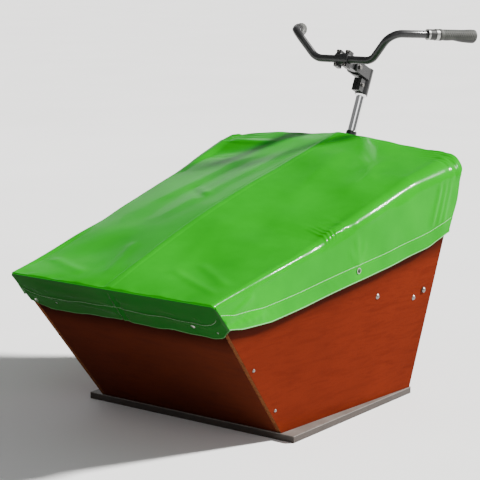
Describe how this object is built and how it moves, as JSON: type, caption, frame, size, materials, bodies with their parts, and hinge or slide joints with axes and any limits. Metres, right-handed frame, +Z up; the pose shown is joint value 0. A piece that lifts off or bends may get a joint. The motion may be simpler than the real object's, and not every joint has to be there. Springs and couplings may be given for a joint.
{
  "type": "cargo bike box",
  "caption": "Raked plywood cargo box on a base board, with a folding bench, a coated fabric cover that folds forward, and a steering column with a swept-back handlebar.",
  "frame": {"origin": "centre of the base board's underside", "axes": "+Z up, the box's front faces -Y, the object's left side is +X"},
  "size_m": [0.8354, 1.2772, 0.9903],
  "materials": {
    "film_plywood": "gloss",
    "base_black": "satin",
    "grey_sheet": "satin",
    "batten_wood": "matte",
    "zinc_steel": "satin",
    "black_paint": "satin",
    "chrome_steel": "polished",
    "alloy": "satin",
    "grip_rubber": "matte",
    "black_plastic": "satin",
    "pvc_green": "gloss",
    "snap_metal": "satin"
  },
  "bodies": {
    "box": {"base_board": "base_black", "base_top_sheet": "grey_sheet", "front_panel": "film_plywood", "left_side_panel": "film_plywood", "right_side_panel": "film_plywood", "rear_panel": "film_plywood", "front_corner_battens": "batten_wood", "rear_corner_battens": "batten_wood", "floor_battens": "batten_wood", "side_panel_screws": "zinc_steel", "batten_screws": "zinc_steel", "left_bench_rail": "batten_wood", "right_bench_rail": "batten_wood", "bench_rail_bolts": "zinc_steel", "bench_rail_nuts": "zinc_steel", "bench_pivot_bolts": "zinc_steel", "bench_pivot_washers": "zinc_steel", "steering_bracket": "black_paint", "bracket_backing_plate": "zinc_steel", "bracket_bolts": "zinc_steel", "bracket_nuts": "zinc_steel", "head_tube": "black_paint", "upper_headset_cup": "alloy", "lower_headset_cup": "alloy", "cover_front_skirt": "pvc_green", "front_skirt_snaps": "snap_metal", "side_snap_studs": "snap_metal"},
    "steering": {"steerer_tube": "zinc_steel", "lower_crown_race": "alloy", "headset_locknut": "black_paint", "steering_arm": "black_paint", "steering_arm_bolt": "zinc_steel"},
    "post": {"handlebar_post": "chrome_steel", "expander_wedge": "zinc_steel", "expander_bolt": "zinc_steel", "stem_clamp_body": "black_paint", "stem_clamp_bolt": "zinc_steel", "stem_base_ring": "chrome_steel", "stem_pivot_bolt": "zinc_steel"},
    "stem": {"stem_arm": "black_paint", "bar_faceplate": "black_paint", "faceplate_bolts": "zinc_steel"},
    "handlebar": {"handlebar_tube": "black_paint", "left_grip": "grip_rubber", "right_grip": "grip_rubber", "grip_collars": "black_plastic", "grip_lock_rings": "alloy"},
    "bench": {"bench_seat": "film_plywood", "bench_hinge_plates": "zinc_steel", "hinge_plate_screws": "zinc_steel"},
    "cover": {"cover_top_panel": "pvc_green", "cover_left_skirt": "pvc_green", "cover_right_skirt": "pvc_green", "cover_rear_flap": "pvc_green", "cover_side_snaps": "snap_metal"}
  },
  "joints": [
    {"name": "steering", "type": "hinge", "parent": "box", "child": "steering", "pos_m": [0, 0.486, 0.665], "axis": [0, 0.4195, 0.9078], "range_deg": [-45, 45]},
    {"name": "post_height", "type": "slide", "parent": "steering", "child": "post", "axis": [0, 0.4195, 0.9078], "range_m": [-0.04, 0.06]},
    {"name": "stem_angle", "type": "hinge", "parent": "post", "child": "stem", "pos_m": [0, 0.50774, 0.87417], "axis": [-1, 0, 0], "range_deg": [-20, 30]},
    {"name": "bar_roll", "type": "hinge", "parent": "stem", "child": "handlebar", "pos_m": [0, 0.44699, 0.90004], "axis": [1, 0, 0], "range_deg": [-20, 20]},
    {"name": "bench_fold", "type": "hinge", "parent": "box", "child": "bench", "pos_m": [0, 0.29, 0.297], "axis": [-1, 0, 0], "range_deg": [0, 88]},
    {"name": "cover_fold", "type": "hinge", "parent": "box", "child": "cover", "pos_m": [0, -0.596, 0.409], "axis": [1, 0, 0], "range_deg": [0, 150]}
  ]
}
